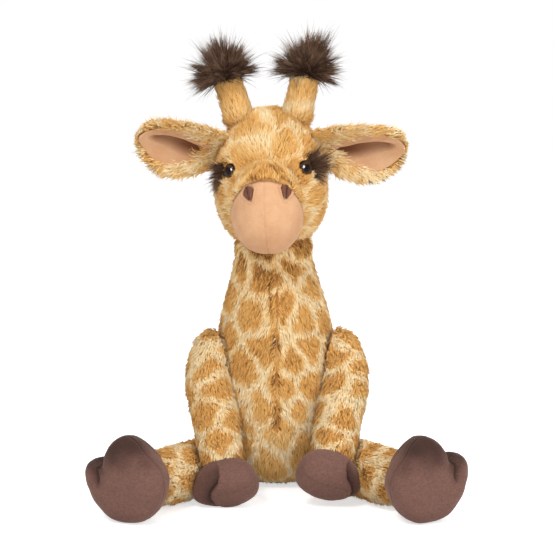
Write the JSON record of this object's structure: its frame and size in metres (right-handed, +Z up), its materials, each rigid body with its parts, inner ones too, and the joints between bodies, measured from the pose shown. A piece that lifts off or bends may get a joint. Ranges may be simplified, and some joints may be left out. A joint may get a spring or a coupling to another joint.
{
  "type": "plush giraffe",
  "caption": "Seated stuffed giraffe of short fur with a long neck, floppy arms and legs that end in soft hooves, cupped ears and tufted horns.",
  "frame": {"origin": "middle of the flat face under the seat, on the surface that the toy sits on", "axes": "+Z up, -Y the way the toy looks, +X its own left side"},
  "size_m": [0.2828, 0.2517, 0.3591],
  "materials": {
    "fur": "short plush fur, caramel patches on cream",
    "peach_cloth": "brushed knit, matte",
    "velour": "short-pile velour, soft sheen",
    "long_pile": "long dark fur with lighter tips",
    "stitching": "satin-stitch embroidery",
    "eye": "polished",
    "washer": "moulded, unpolished",
    "inner_bag": "plain woven cloth"
  },
  "bodies": {
    "torso": {"body_and_neck": "fur", "pellet_bag": "inner_bag", "neck_mane": "long_pile"},
    "head": {"head": "fur", "head_mane": "long_pile", "muzzle": "peach_cloth", "nostril_left": "stitching", "nostril_right": "stitching", "eye_left": "eye", "eye_right": "eye", "eye_washer_left": "washer", "eye_washer_right": "washer", "lash_left": "long_pile", "lash_right": "long_pile", "horn_left": "fur", "horn_right": "fur", "horn_tuft_left": "long_pile", "horn_tuft_right": "long_pile"},
    "ear_left": {"ear_left": "fur", "ear_lining_left": "peach_cloth"},
    "ear_right": {"ear_right": "fur", "ear_lining_right": "peach_cloth"},
    "arm_left": {"arm_left": "fur", "arm_hoof_left": "velour"},
    "arm_right": {"arm_right": "fur", "arm_hoof_right": "velour"},
    "leg_left": {"leg_left": "fur", "leg_hoof_left": "velour"},
    "leg_right": {"leg_right": "fur", "leg_hoof_right": "velour"},
    "tail": {"tail": "fur", "tail_tuft": "long_pile"}
  },
  "joints": [
    {"name": "neck_turn", "type": "hinge", "parent": "torso", "child": "head", "pos_m": [-0.0028, 0, 0.19], "axis": [0, 0, 1], "range_deg": [-20, 20], "stiffness_Nm_per_rad": 0.2},
    {"name": "ear_left_flap", "type": "hinge", "parent": "head", "child": "ear_left", "pos_m": [0.02817, 0.00385, 0.26791], "axis": [0.0698, 0.9976, 0], "range_deg": [-20, 20], "stiffness_Nm_per_rad": 0.03},
    {"name": "ear_right_flap", "type": "hinge", "parent": "head", "child": "ear_right", "pos_m": [-0.03959, 0.00859, 0.26494], "axis": [0.0698, 0.9976, 0], "range_deg": [-20, 20], "stiffness_Nm_per_rad": 0.03},
    {"name": "shoulder_left", "type": "hinge", "parent": "torso", "child": "arm_left", "pos_m": [0.044, -0.002, 0.121], "axis": [-1, 0, 0], "range_deg": [0, 80]},
    {"name": "shoulder_right", "type": "hinge", "parent": "torso", "child": "arm_right", "pos_m": [-0.044, -0.002, 0.121], "axis": [-1, 0, 0], "range_deg": [0, 80]},
    {"name": "hip_left", "type": "hinge", "parent": "torso", "child": "leg_left", "pos_m": [0.041, -0.024, 0.0225], "axis": [0, 0, 1], "range_deg": [0, 35]},
    {"name": "hip_right", "type": "hinge", "parent": "torso", "child": "leg_right", "pos_m": [-0.041, -0.024, 0.0225], "axis": [0, 0, -1], "range_deg": [0, 35]},
    {"name": "tail_swing", "type": "hinge", "parent": "torso", "child": "tail", "pos_m": [0, 0.051, 0.047], "axis": [1, 0, 0], "range_deg": [0, 75]}
  ]
}
